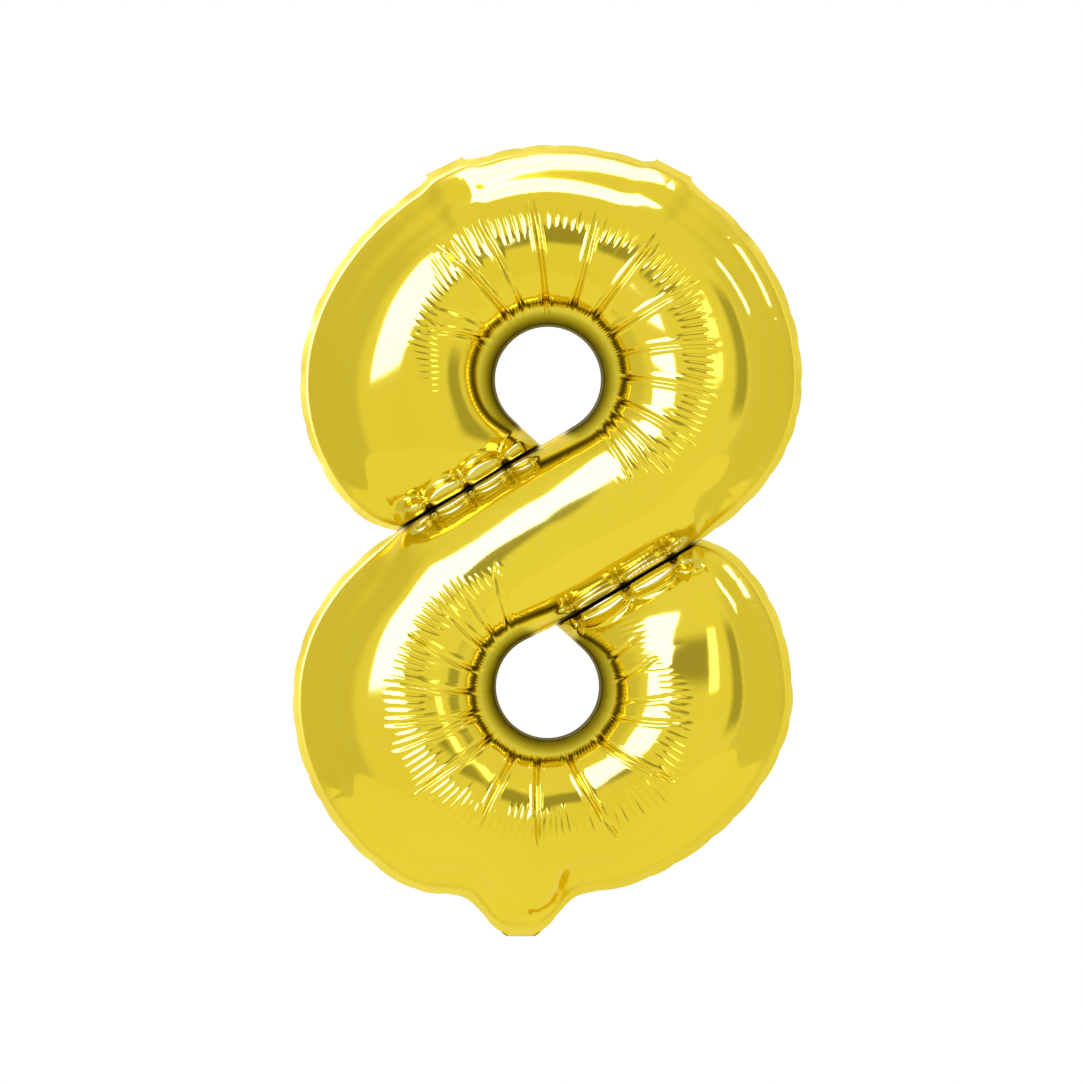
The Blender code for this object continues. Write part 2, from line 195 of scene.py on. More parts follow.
# Light panels: location, target, width and height, radiance and tint
SOFTBOXES = {
    "window_front_left": ((-1.43, -3.07, 1.23), (0, 0, 0.05), (1.95, 2.8), 21, COOL),
    "window_front_right": ((1.75, -3.03, 0.87), (0, 0, 0.05), (0.55, 1.6), 3.6, PALE_COOL),
    "panel_overhead": ((0.10, 0.42, 2.0), (0, 0.1, 0), (1.65, 1.1), 21, COOL),
    "strip_right_rear": ((2.04, 0.78, 1.42), (0, 0, 0.1), (0.34, 0.8), 19, COOL),
}


# ---------------------------------------------------------------- outline of the film
def quarter(lobe, height, exponent, start, end, count):
    """Part of a superellipse round the lobe's centre, between two angles in degrees."""
    t = np.radians(np.linspace(start, end, count))
    power = 2 / exponent
    x = lobe["half_width"] * np.sign(np.cos(t)) * np.abs(np.cos(t)) ** power
    z = height * np.sign(np.sin(t)) * np.abs(np.sin(t)) ** power
    return np.c_[x + lobe["centre"][0], z + lobe["centre"][1]]


def flow_end(lobe):
    """Where the outline has turned parallel to the band and runs straight on into the slit."""
    return quarter(lobe, lobe["drop_right"], 2, 0, -lobe["flow_angle"], 2)[-1]


def across(along):
    """The unit vector a quarter turn anticlockwise from this one."""
    return np.array([-along[1], along[0]])


def notch(lobe):
    """Outer end of the lobe's slit, on the blind end's side of the cut."""
    start = -flow_end(LOWER if lobe is UPPER else UPPER)
    along = np.array(lobe["tip"]) - start
    return start + SLIT_CUT * across(along / np.linalg.norm(along))


def slit_direction(lobe):
    """Unit vector along the lobe's slit, from its notch up to the tip of the hole."""
    along = np.array(lobe["tip"]) - notch(lobe)
    return along / np.linalg.norm(along)


def slit_length(lobe):
    return hypot(*(notch(lobe) - np.array(lobe["tip"])))


def from_slit(points, lobe, turn):
    """Distance out along the slit from the tip of the hole, and off the slit towards its blind end."""
    direction = slit_direction(lobe)
    away = turn * points - np.array(lobe["tip"])
    return -(away @ direction), away @ across(direction)


def from_hole(points, lobe, turn):
    """Distance from the middle of the lobe's hole."""
    return np.linalg.norm(turn * points - np.array(lobe["hole"]), axis=-1)


def outer_path(lobe):
    """The lobe's outer outline, clockwise from the notch at its blind end to where it joins the band."""
    low_left = quarter(lobe, lobe["drop_left"], 2, lobe["corner_angle"], 180, 24)
    t = np.linspace(0, 1, 60)[:, None]
    near, far = np.array(lobe["corner"])
    pulled = 3 * t * (1 - t) * ((1 - t) * near + t * far)
    turn = (1 - t) ** 3 * notch(lobe) + pulled + t**3 * low_left[0]
    top_left = quarter(lobe, *lobe["rise_left"], 180, 90, 120)
    top_right = quarter(lobe, *lobe["rise_right"], 90, 0, 120)
    low_right = quarter(lobe, lobe["drop_right"], 2, 0, -lobe["flow_angle"], 80)
    path = np.concatenate([turn, low_left[1:], top_left[1:], top_right[1:], low_right[1:]])
    return with_neck(path, lobe) if lobe["neck"] else with_tab_roots(path, lobe)


def with_tab_roots(path, lobe):
    """The outline raised where the two fused plies run on into each hanging tab."""
    angle = angles_of(path, lobe)
    height, half_width = lobe["tab_root"]
    raised = sum(height * np.exp(-(((angle - tab) / half_width) ** 6)) for tab in lobe["tabs"])
    outward = path - np.array(lobe["hole"])
    return path + outward / np.linalg.norm(outward, axis=1)[:, None] * raised[:, None]


def with_neck(path, lobe):
    """The outline flattened where the neck gathers it, with the neck's own bulge added."""
    neck = lobe["neck"]
    soften = 0.0065
    x, z = path.T
    flat = lobe["centre"][1] + neck["flat"]
    lowered = -soften * np.logaddexp(-z / soften, -flat / soften)
    bulge = neck["height"] * np.exp(-(np.abs((x - neck["x"]) / neck["half_width"]) ** neck["power"]))
    far_side = z > lobe["centre"][1] + 0.08
    return np.c_[x, np.where(far_side, lowered + bulge, z)]


def hole_path(lobe):
    """The hole: a circle and a pointed tip joined by tangents, clockwise from the tip and back to it."""
    centre, tip = np.array(lobe["hole"]), np.array(lobe["tip"])
    radius = lobe["hole_radius"]
    away = tip - centre
    to_tip = degrees(atan2(away[1], away[0])) % 360
    half = degrees(acos(radius / hypot(*away)))
    t = np.radians(np.linspace(to_tip - half, to_tip - 360 + half, 180))
    circle = centre + radius * np.c_[np.cos(t), np.sin(t)]
    off = across(slit_direction(lobe)) * SLIT_CUT / 2
    return np.concatenate([[tip + off], circle, [tip - off]])


def angles_of(path, lobe):
    """The polar angle of each point about the lobe's hole, in degrees, falling all the way along the path."""
    centre = np.array(lobe["hole"])
    angle = np.degrees(np.unwrap(np.arctan2(path[:, 1] - centre[1], path[:, 0] - centre[0])))
    return angle + (360 if angle[0] < 0 else 0)


def at_angle(path, lobe, wanted):
    """Points of the path at these polar angles about the lobe's hole."""
    angle = angles_of(path, lobe)
    return np.c_[[np.interp(-np.asarray(wanted), -angle, path[:, k]) for k in (0, 1)]].T


# ---------------------------------------------------------------- the tube's two sides, smooth and dense
def smoothed(values, sigma):
    """Values along axis 0 after a Gaussian of this many samples that keeps both ends where they are."""
    reach = int(3 * sigma) + 1
    kernel = np.exp(-0.5 * (np.arange(-reach, reach + 1) / sigma) ** 2)
    kernel /= kernel.sum()
    v = values.reshape(len(values), -1)
    before = 2 * v[0] - v[reach:0:-1]
    after = 2 * v[-1] - v[-2 : -reach - 2 : -1]
    padded = np.concatenate([before, v, after])
    out = np.stack([np.convolve(padded[:, k], kernel, mode="valid") for k in range(v.shape[1])], axis=1)
    return out.reshape(values.shape)


def lengths_along(path):
    """Length of the path up to each of its points."""
    return np.concatenate([[0], np.cumsum(np.linalg.norm(np.diff(path, axis=0), axis=1))])


def resampled(path, step):
    """The path at even steps along its length, and the length at each point."""
    length = lengths_along(path)
    s = np.linspace(0, length[-1], int(length[-1] / step) + 1)
    return np.c_[[np.interp(s, length, path[:, k]) for k in (0, 1)]].T, s


def lobe_keys(lobe):
    """Matching points on the hole's edge and the outline, from the blind end to the band."""
    hole, outer = hole_path(lobe), outer_path(lobe)
    inner_angles = [a for a, _ in STATION_ANGLES] + [JOIN_ANGLE]
    outer_angles = [a for _, a in STATION_ANGLES] + [angles_of(outer, lobe)[-1]]
    inner, outside = at_angle(hole, lobe, inner_angles), at_angle(outer, lobe, outer_angles)
    return np.concatenate([hole[:1], inner]), np.concatenate([outer[:1], outside])


def tube_sides(rows):
    """Side a (upper hole, slit, lower outline) and side b of the tube at evenly spread stations."""
    side_a = np.concatenate([hole_path(UPPER), -outer_path(LOWER)[::-1]])
    side_b = np.concatenate([outer_path(UPPER), -hole_path(LOWER)[::-1]])
    upper, lower = lobe_keys(UPPER), lobe_keys(LOWER)
    keys_a = np.concatenate([upper[0], -lower[1][::-1]])
    keys_b = np.concatenate([upper[1], -lower[0][::-1]])
    sides, lengths, places = [], [], []
    for side, keys in ((side_a, keys_a), (side_b, keys_b)):
        even, s = resampled(side, 0.0005)
        even = smoothed(even, 9)
        nearest = np.linalg.norm(even[None] - keys[:, None], axis=2).argmin(axis=1)
        nearest[[0, -1]] = 0, len(s) - 1
        sides.append(even)
        lengths.append(s)
        places.append(s[nearest])
    mean = (places[0] + places[1]) / 2
    fine = np.linspace(0, mean[-1], 4001)
    u = np.linspace(0, mean[-1], rows)
    out = []
    for side, s, place in zip(sides, lengths, places):
        travelled = smoothed(np.interp(fine, mean, place), 70)
        at = np.interp(u, fine, travelled)
        out.append(np.c_[[np.interp(at, s, side[:, k]) for k in (0, 1)]].T)
    return out[0], out[1], u


def seal_widths(side_a, side_b):
    """Width of the sealed border along each side: wide on the outline, narrow on holes and slits."""
    widths = []
    for side, (lobe, turn) in zip((side_a, side_b), LOBES):
        near_hole = from_hole(side, lobe, turn) < lobe["hole_radius"] + 0.030
        reach, off = from_slit(side, lobe, turn)
        on_slit = (np.abs(off) < 0.002) & (reach > 0) & (reach < 0.190)
        width = np.where(near_hole, HOLE_SEAL, np.where(on_slit, SLIT_SEAL, OUTER_SEAL))
        widths.append(smoothed(width, len(width) * 0.006))
    return widths


# ---------------------------------------------------------------- the inflated shape
def domain(side_a, side_b, phi):
    """Plan positions of the bulging film, rows by columns, pushed off the slits by their seal."""
    seal_a, seal_b = seal_widths(side_a, side_b)
    inward = side_b - side_a
    inward /= np.linalg.norm(inward, axis=1)[:, None]
    seam_a = side_a + inward * seal_a[:, None]
    seam_b = side_b - inward * seal_b[:, None]
    share = (1 - np.cos(phi)) / 2
    plan = seam_a[:, None] + (seam_b - seam_a)[:, None] * share[None, :, None]
    rows = len(side_a)
    ends = slice(0, rows // 5), slice(rows - rows // 5, rows)
    for part, (lobe, turn) in zip(ends, LOBES):
        _, off = from_slit(plan[part], lobe, turn)
        push = SLIT_SEAL * np.exp(-np.abs(off) / 0.02)
        plan[part] += turn * across(slit_direction(lobe)) * push[..., None]
    return plan


def inflate(plan):
    """How high a film under pressure stands over each point: the root of a stretched membrane's height."""
    rows, columns = plan.shape[:2]
    index = np.arange(rows * columns).reshape(rows, columns)
    p00, p01, p10, p11 = index[:-1, :-1], index[:-1, 1:], index[1:, :-1], index[1:, 1:]
    both_ways = (p00, p01, p11), (p00, p11, p10), (p00, p01, p10), (p01, p11, p10)
    triangles = np.concatenate([np.stack(t, axis=-1).reshape(-1, 3) for t in both_ways])
    points = plan.reshape(-1, 2)
    corner = points[triangles]
    edges = corner[:, [2, 0, 1]] - corner[:, [1, 2, 0]]
    area = np.abs(edges[:, 0, 0] * edges[:, 1, 1] - edges[:, 0, 1] * edges[:, 1, 0]) / 2
    stiffness = np.einsum("nik,njk->nij", edges, edges) / (4 * np.maximum(area, 1e-14))[:, None, None]
    load = np.bincount(triangles.ravel(), np.repeat(area / 3, 3), len(points))
    free = np.zeros((rows, columns), bool)
    free[1:-1, 1:-1] = True
    free = free.ravel()
    row_of = np.repeat(triangles, 3, axis=1).ravel()
    column_of = np.tile(triangles, (1, 3)).ravel()
    value = stiffness.ravel()

    def applied(x):
        return np.bincount(row_of, value * x[column_of], len(points)) * free

    diagonal = np.bincount(triangles.ravel(), stiffness[:, [0, 1, 2], [0, 1, 2]].ravel(), len(points))
    target = 2 * load * free
    x = np.zeros(len(points))
    residual = target.copy()
    z = residual / diagonal
    direction, old = z.copy(), residual @ z
    for _ in range(900):
        pushed = applied(direction)
        step = old / (direction @ pushed)
        x += step * direction
        residual -= step * pushed
        z = residual / diagonal
        new = residual @ z
        if new < 1e-16 * (target @ (target / diagonal)):
            break
        direction = z + (new / old) * direction
        old = new
    return x.reshape(rows, columns)


# ---------------------------------------------------------------- creases, flutes and puffs of the film
def eased(low, high, x):
    """0 below low, 1 above high, and a smooth rise between them."""
    t = np.clip((x - low) / (high - low), 0, 1)
    return t * t * (3 - 2 * t)


def wander(x, pitch, rng):
    """Smooth random curve of x, about -1 to 1, that turns about once every pitch."""
    knots = rng.uniform(-1, 1, int((x.max() - x.min()) / pitch) + 4)
    at = (x - x.min()) / pitch
    whole = at.astype(int)
    t = at - whole
    t = t * t * (3 - 2 * t)
    return knots[whole] * (1 - t) + knots[whole + 1] * t


def polar(plan, lobe, turn, lowest):
    """Radius and front-view angle of the plan points about a lobe's hole, the angle from lowest up."""
    centre = turn * np.array(lobe["hole"])
    away = plan - centre
    angle = np.degrees(np.arctan2(away[..., 1], away[..., 0]))
    return np.hypot(away[..., 0], away[..., 1]), (angle - lowest) % 360 + lowest


def facets(radius, angle, folds, inner_half):
    """The film between neighbouring folds pulled flat, and each fold's own narrow pleat."""
    lines = sorted(folds, key=lambda f: f[0])
    bearings, strengths = [], []
    for outer_angle, outer_radius, inner_angle, inner_radius, strength in lines:
        t = np.clip((radius - inner_radius) / (outer_radius - inner_radius), -0.2, 1.15)
        bearings.append(inner_angle + (outer_angle - inner_angle) * t)
        strengths.append(strength)
    lift = np.zeros_like(radius)
    for low, high in zip(bearings[:-1], bearings[1:]):
        inside = (angle >= low) & (angle < high)
        half = np.radians(np.maximum(high - low, 0)) / 2
        off = np.radians(angle) - np.radians((low + high) / 2)
        lift += np.where(inside, 0.5 * radius * inner_half * np.clip(half**2 - off**2, 0, None), 0)
    for line, bearing in zip(lines, bearings):
        _, outer_radius, _, inner_radius, strength = line
        along = eased(inner_radius - 0.006, inner_radius + 0.010, radius)
        along *= 1 - eased(outer_radius - 0.016, outer_radius + 0.002, radius)
        off = radius * np.radians(angle - bearing)
        pleat = 1.2 * np.exp(-((off / FOLD_WIDTH) ** 2))
        pleat -= 0.7 * np.exp(-(((np.abs(off) - 0.0046) / 0.0022) ** 2))
        lift -= FOLD_DEPTH * strength * along * pleat
    return lift


def flutes(radius, angle, travel, table, pitch, rng, wobble=0.18):
    """Rounded ridges with sharp valleys between them, each a lens across the crest, of uneven size."""
    table = np.array(sorted(table))
    middle = np.interp(angle, table[:, 0], table[:, 1])
    length = np.interp(angle, table[:, 0], table[:, 2])
    height = np.interp(angle, table[:, 0], table[:, 3])
    phase = travel / pitch
    phase = phase + wobble * 1.6 * wander(phase, 5.0, rng)
    lean = wander(travel, 0.055, rng)[:, None] * 0.20
    phase = phase[:, None] + lean * (radius - middle) / pitch
    phase = phase - phase.min()
    number = phase.astype(int)
    tall = rng.uniform(0.65, 1.15, number.max() + 2)[number]
    shift = rng.uniform(-0.16, 0.16, number.max() + 2)[number]
    stretch = rng.uniform(0.75, 1.25, number.max() + 2)[number]
    x = (radius - middle) / (length * stretch) + shift
    lens = np.clip(1 - np.abs(x) ** 2.4, 0, 1)
    ridge = np.abs(np.sin(pi * phase)) ** 0.9 - 0.4
    return height * tall * lens * ridge


def beside_slit(plan, lobe, turn, blind_side):
    """Distance from a slit, distance along it from the hole's tip, and how much a point belongs beside it."""
    reach, off = from_slit(plan, lobe, turn)
    away = off if blind_side else -off
    length = slit_length(lobe)
    on = eased(-0.002, 0.022, reach) * (1 - eased(length - 0.030, length - 0.004, reach)) * (away > -0.001)
    return away, reach, on


def cushion_width(reach, lobe, blind_side):
    """Width of the cushions beside a slit: each is widest midway between the bridges that tack the slit."""
    ends = np.array([-0.004, *lobe["tacks"], slit_length(lobe) + 0.004])
    at = np.searchsorted(ends, reach).clip(1, len(ends) - 1)
    share = np.clip((reach - ends[at - 1]) / (ends[at] - ends[at - 1]), 0, 1)
    return (BLIND_PUFF if blind_side else BAND_PUFF) * (0.66 + 0.44 * np.sin(pi * share) ** 0.8)


def eased_walls(plan, height):
    """The height with its steepest part beside each seam drawn out into a slope, as gathered film lies."""
    for side in (0, -1):
        away = np.linalg.norm(plan - plan[:, [side]], axis=2)
        outer = smoothed(outer_rows(plan[:, side], side), 22)[:, None]
        lobe, turn = LOBES[side]
        off_hole = from_hole(plan[:, side], lobe, turn) > lobe["hole_radius"] + 0.030
        slit = smoothed(off_hole.astype(float), 45)[:, None] * (1 - outer)
        slope = HOLE_SLOPE + (OUTER_SLOPE - HOLE_SLOPE) * outer + (SLIT_SLOPE - HOLE_SLOPE) * slit
        straight = slope * away + OUTER_ROUNDING * outer * away**2 + 1e-6
        height = (np.maximum(height, 1e-6) ** -5 + straight**-5) ** -0.2
    return height


def pressed_height(plan, height):
    """The height with a steep wall beside each slit, where the blind end and the band press on each other."""
    rows = len(plan)
    half = rows // 2
    height = eased_walls(plan, height)
    for lobe, turn in LOBES:
        own = slice(0, half) if turn > 0 else slice(half, rows)
        other = slice(half, rows) if turn > 0 else slice(0, half)
        for part, blind in ((own, True), (own, False), (other, False)):
            away, reach, on = beside_slit(plan[part], lobe, turn, blind)
            if blind:
                on = on * blind_rows(away.shape[0], turn)
            depth = cushion_width(reach, lobe, blind)
            rounded = 1 - (1 - np.clip(away / depth, 0, 1)) ** 2
            puff = (0.044 + 0.011 * rounded) if blind else (0.036 + 0.008 * rounded)
            pinch = sum(np.exp(-((reach - q) ** 2) / 0.0042**2) for q in lobe["tacks"])
            puff -= TACK_PRESS * pinch * (1 - eased(0.1, 1.0, away / depth))
            weight = on * (1 - eased(0.65 * depth, 1.5 * depth, away))
            weight *= eased(0.0004, 0.0016, height[part])
            height[part] += np.maximum(puff - height[part], 0) * weight
    return height


def slit_puffs(plan, lobe, turn, blind_side, rng):
    """The little cushions along a slit: rolls beside the cut, pinched where its edges are tacked together."""
    away, reach, on = beside_slit(plan, lobe, turn, blind_side)
    depth = cushion_width(reach, lobe, blind_side)
    lift = (0.0010 if blind_side else 0.0006) * np.sin(pi * np.clip(away / depth, 0, 1))
    lift -= 0.0005 * np.exp(-((away - depth) ** 2) / 0.0036**2)
    pinch = sum(np.exp(-((reach - q) ** 2) / 0.0034**2) for q in lobe["tacks"])
    lift -= 0.0015 * pinch * (1 - eased(depth * 0.8, depth * 1.4, away))
    phase = reach / 0.0056 + 0.4 * wander(reach.ravel(), 0.02, rng).reshape(reach.shape)
    ribbed = eased(0.091, 0.096, reach) * (1 - eased(0.175, 0.186, reach))
    band = np.exp(-(((away - depth * 0.72) / (depth * 0.30)) ** 2))
    lift += (0.0008 if blind_side else 0.0003) * (np.abs(np.sin(pi * phase)) - 0.5) * ribbed * band
    return lift * on


def seam_nicks(rng, length):
    """Where the sealed border buckles: distances along the outline."""
    places, at = [], 0.02
    while at < length - 0.02:
        places.append(at)
        at += rng.uniform(0.030, 0.058)
    return np.array(places)


def off_middle(travel, nicks):
    """0 midway between two neighbouring nicks, rising to 1 at each of them."""
    edges = np.searchsorted(nicks, travel).clip(1, len(nicks) - 1)
    middle, half = (nicks[edges - 1] + nicks[edges]) / 2, (nicks[edges] - nicks[edges - 1]) / 2
    return np.abs((travel - middle) / half)


def seam_buckles(travel, away, nicks, rng):
    """Short creases that run in from each nick of the border, and the soft pillows between them."""
    deep = rng.uniform(0.3, 1.0, len(nicks))
    long = rng.uniform(0.004, 0.012, len(nicks))
    lift = np.zeros_like(away)
    for place, depth, reach in zip(nicks, deep, long):
        off = (travel[:, None] - place) + 0.25 * (depth - 0.6) * away
        lift -= 0.0011 * depth * np.exp(-np.abs(off) / 0.0026) * np.exp(-((away / reach) ** 2))
    pillow = np.clip(1 - off_middle(travel, nicks) ** 2, 0, 1)
    return lift + 0.0005 * (pillow[:, None] - 0.6) * np.exp(-away / 0.014)


def scallops(travel, nicks):
    """How far the border's edge is drawn in: nothing midway between nicks, most at each of them."""
    return 0.0013 * np.clip(off_middle(travel, nicks), 0, 1) ** 2.5


def crease_line(plan, start, stop, depth, width):
    """A single valley along a line in the front view, fading at both ends."""
    run = stop - start
    length = np.linalg.norm(run)
    run /= length
    t = (plan - start) @ run / length
    off = (plan - start) @ across(run)
    fade = eased(-0.05, 0.15, t) * (1 - eased(0.8, 1.05, t))
    return -depth * fade * np.exp(-np.abs(off) / width)


def low_waves(rows, columns, travel, rng):
    """Broad, shallow unevenness of the whole film."""
    v = np.linspace(0, 1, columns)
    total = np.zeros((rows, columns))
    for pitch, height in ((0.100, 0.0009), (0.045, 0.0002)):
        for k in range(1, 5):
            wave = wander(travel, pitch, rng)
            total += height * wave[:, None] * np.sin(pi * k * v + rng.uniform(0, 6.3))[None] * v * (1 - v) * 4
    return total


def wrinkles(plan, phi, travel, seed):
    """Outward displacement of one film at every point of its grid."""
    rng = np.random.default_rng(seed)
    rows, columns = plan.shape[:2]
    half = rows // 2
    lift = low_waves(rows, columns, travel, rng)
    for lobe, turn, part, folds, table, lowest, facing in (
        (UPPER, 1, slice(0, half), UPPER_FOLDS, UPPER_FLUTES, -110, 1),
        (LOWER, -1, slice(half, rows), LOWER_FOLDS, LOWER_FLUTES, 80, -1),
    ):
        radius, angle = polar(plan[part], lobe, turn, lowest)
        inner_half = np.clip(facing * np.cos(phi), 0, 1)[None] ** 0.8
        lift[part] += facets(radius, angle, folds, inner_half)
        lift[part] += flutes(radius, angle, travel[part], table, FLUTE_PITCH, rng)
        edge = lobe["hole_radius"]
        ring = [(a, edge + 0.019, 0.010, 0.0004 * min(1, h / 0.0008)) for a, _, _, h in table]
        lift[part] += flutes(radius, angle, travel[part] * 0.45, ring, RING_PITCH, rng)
        lift[part] += slit_puffs(plan[part], lobe, turn, True, rng) * blind_rows(len(radius), facing)
        other = slice(half, rows) if turn > 0 else slice(0, half)
        for piece in (part, other):
            _, off = from_slit(plan[piece], lobe, turn)
            lift[piece] += slit_puffs(plan[piece], lobe, turn, False, rng) * (off < 0.0005)
    foot = np.array([-LOWER["neck"]["x"], NECK_EDGE])
    for start, stop, depth, width in NECK_FOLDS:
        lift += crease_line(plan, foot + start, foot + stop, depth, width)
    for side in (0, -1):
        away = np.linalg.norm(plan - plan[:, [side]], axis=2)
        outer = outer_rows(plan[:, side], side)[:, None]
        lift += seam_buckles(lengths_along(plan[:, side]), away, NICKS[side], rng) * outer
    return lift


def blind_rows(count, facing):
    """1 on the rows of a half tube that make its blind end, 0 on the rest."""
    share = np.linspace(0, 1, count)[:, None]
    return (share < 0.35) if facing > 0 else (share > 0.65)


def outer_rows(edge, side):
    """1 where this side of the tube is the figure's outer outline, 0 along holes and slits."""
    lobe, turn = LOBES[side]
    reach, off = from_slit(edge, lobe, turn)
    on_slit = (np.abs(off) < 0.006) & (reach < 0.185)
    off_hole = from_hole(edge, lobe, turn) > lobe["hole_radius"] + 0.035
    return smoothed((off_hole & ~on_slit).astype(float), 6)


# ---------------------------------------------------------------- the two skins
def spread(values, count, axis):
    """Values on an even grid brought to more points along an axis, without corners."""
    values = np.moveaxis(values, axis, 0)
    before = np.linspace(0, 1, len(values))
    after = np.linspace(0, 1, count)
    flat = values.reshape(len(values), -1)
    dense = np.stack([np.interp(after, before, flat[:, k]) for k in range(flat.shape[1])], axis=1)
    dense = smoothed(dense, 1.2 * count / len(values))
    return np.moveaxis(dense.reshape((count,) + values.shape[1:]), 0, axis)


def inflated_height(rows, columns):
    """Height of the smooth film over the seal plane, from a coarse solution spread over the fine grid."""
    coarse_rows, coarse_columns = 361, 49
    side_a, side_b, _ = tube_sides(coarse_rows)
    plan = domain(side_a, side_b, np.linspace(0, pi, coarse_columns))
    squared = spread(inflate(plan), rows, 0)
    height = spread(np.sqrt(np.clip(squared, 0, None)), columns, 1)
    return height * TUBE_DEPTH / height.max() * 1.03


def normals_of(points):
    """Unit normals of a grid of points."""
    n = np.cross(np.gradient(points, axis=1), np.gradient(points, axis=0))
    return n / np.maximum(np.linalg.norm(n, axis=2), 1e-12)[..., None]


def skin_points(side, seed):
    """Every point of one panel: its sealed borders and slit borders round the bulging, creased film."""
    side_a, side_b, travel = tube_sides(SKIN_ROWS)
    phi = np.linspace(0, pi, SKIN_COLUMNS)
    plan = domain(side_a, side_b, phi)
    height = pressed_height(plan, inflated_height(SKIN_ROWS, SKIN_COLUMNS))
    film = np.stack([plan[..., 0], side * height, plan[..., 1]], axis=-1)
    normal = normals_of(film)
    normal *= np.sign((normal[..., 1] * side).sum())
    held = np.clip(height / 0.012, 0, 1)
    lift = wrinkles(plan, phi, travel, seed) * held
    film += normal * lift[..., None]
    film[..., 1] = side * np.maximum(side * film[..., 1], 0)
    film[..., 1] += side * PLY_GAP / 2
    columns = []
    for edge, inner, place in ((side_a, plan[:, 0], 0), (side_b, plan[:, -1], -1)):
        outward = edge - inner
        width = np.linalg.norm(outward, axis=1)[:, None]
        outer = outer_rows(inner, place)[:, None]
        along = lengths_along(inner)
        drawn = scallops(along, NICKS[place])[:, None] * outer
        edge = inner + outward / np.maximum(width, 1e-9) * np.maximum(width - drawn, 0.0008)
        edge = reaching_creases(edge)
        wave = (0.0004 * wander(along, 0.022, np.random.default_rng(31 + place)))[:, None] * outer
        strips = []
        for t in (1.0, 0.66, 0.33):
            flat = inner + (edge - inner) * t
            y = side * PLY_GAP / 2 + wave * t**2
            strips.append(np.concatenate([flat[:, :1], y, flat[:, 1:]], axis=1))
        columns.append(np.stack(strips, axis=1))
    grid = np.concatenate([columns[0], film, columns[1][:, ::-1]], axis=1)
    return add_slit_borders(grid, side)


def creases():
    """The tail's and both tabs' fold lines: a point on each, its run and its outward direction, in plan."""
    outer = outer_path(UPPER)
    lines = [(np.array(TAIL_HINGE), np.array([1.0, 0.0]), np.array([0.0, -1.0]))]
    for angle in UPPER["tabs"]:
        here, before, after = at_angle(outer, UPPER, np.array([angle, angle + 4, angle - 4]))
        run = (after - before) / np.linalg.norm(after - before)
        outward = across(run)
        lines.append((here + outward * TAB_CREASE, run, outward))
    return lines


def reaching_creases(edge):
    """The border's edge brought out to each fold line, where the tail and the tabs run on from it."""
    edge = edge.copy()
    for (point, run, outward), width in zip(creases(), (TAIL_ROOT, TAB_WIDTH, TAB_WIDTH)):
        along, short = (edge - point) @ run, (edge - point) @ outward
        close = (np.abs(short) < 0.016) * (1 - eased(width / 2 - 0.003, width / 2 + 0.003, np.abs(along)))
        edge -= (short * close)[:, None] * outward
    return edge


def add_slit_borders(grid, side):
    """A strip of sealed film between each blind end and its slit."""
    ends = []
    for row, (lobe, turn) in zip((0, -1), LOBES):
        normal = turn * across(slit_direction(lobe))
        strip = grid[row].copy()
        strip[:, 1] = side * PLY_GAP / 2 + 0.0010
        strip[:, [0, 2]] -= normal * (SLIT_SEAL + 1.6 * SLIT_CUT)
        ends.append(strip[None])
    return np.concatenate([ends[0], grid, ends[1]])


def painted_crevice_shade(grid):
    """Painted shade, 0 to 1, by how deep each point lies between the films facing each other in a slit or at
    a hole's rim.
    """
    plan = grid[..., [0, 2]]
    low = 1 - eased(0.014, 0.034, np.abs(grid[..., 1]))
    shade = np.zeros(grid.shape[:2])
    for lobe, turn in LOBES:
        reach, off = from_slit(plan, lobe, turn)
        on = eased(-0.004, 0.008, reach) * (1 - eased(0.168, 0.186, reach))
        away = np.abs(off)
        # painted shade: near black along the slit's own line, and a paler, duller tone over the cushions
        # beside it
        shade = np.maximum(shade, on * low * (1 - eased(0.0015, 0.005, away)))
        shade = np.maximum(shade, on * PAINTED_SHADE_BY_SLIT * (1 - eased(0.010, 0.026, away)))
        near = from_hole(plan, lobe, turn) < lobe["hole_radius"] + 0.06
        rim = hole_path(lobe)[1:-1:2] * turn
        gap = np.full(shade.shape, 1.0)
        gap[near] = np.min([np.hypot(*(plan[near] - point).T) for point in rim], axis=0)
        # painted shade: the hole's rim darkened, fading out over about 25 mm from its edge
        shade = np.maximum(shade, PAINTED_SHADE_AT_HOLE * (1 - eased(0.006, 0.025, gap)))
    return shade


def seam_haze(grid):
    """1 on the heat-sealed border, whose film is crinkled and dull, fading out just inside the seam."""
    haze = np.zeros(grid.shape[:2])
    for seam, border in ((3, slice(0, 4)), (-4, slice(-4, None))):
        away = np.linalg.norm(grid[..., [0, 2]] - grid[:, [seam]][..., [0, 2]], axis=-1)
        away[:, border] = 0
        haze = np.maximum(haze, 1 - eased(0.001, 0.009, away))
    return haze


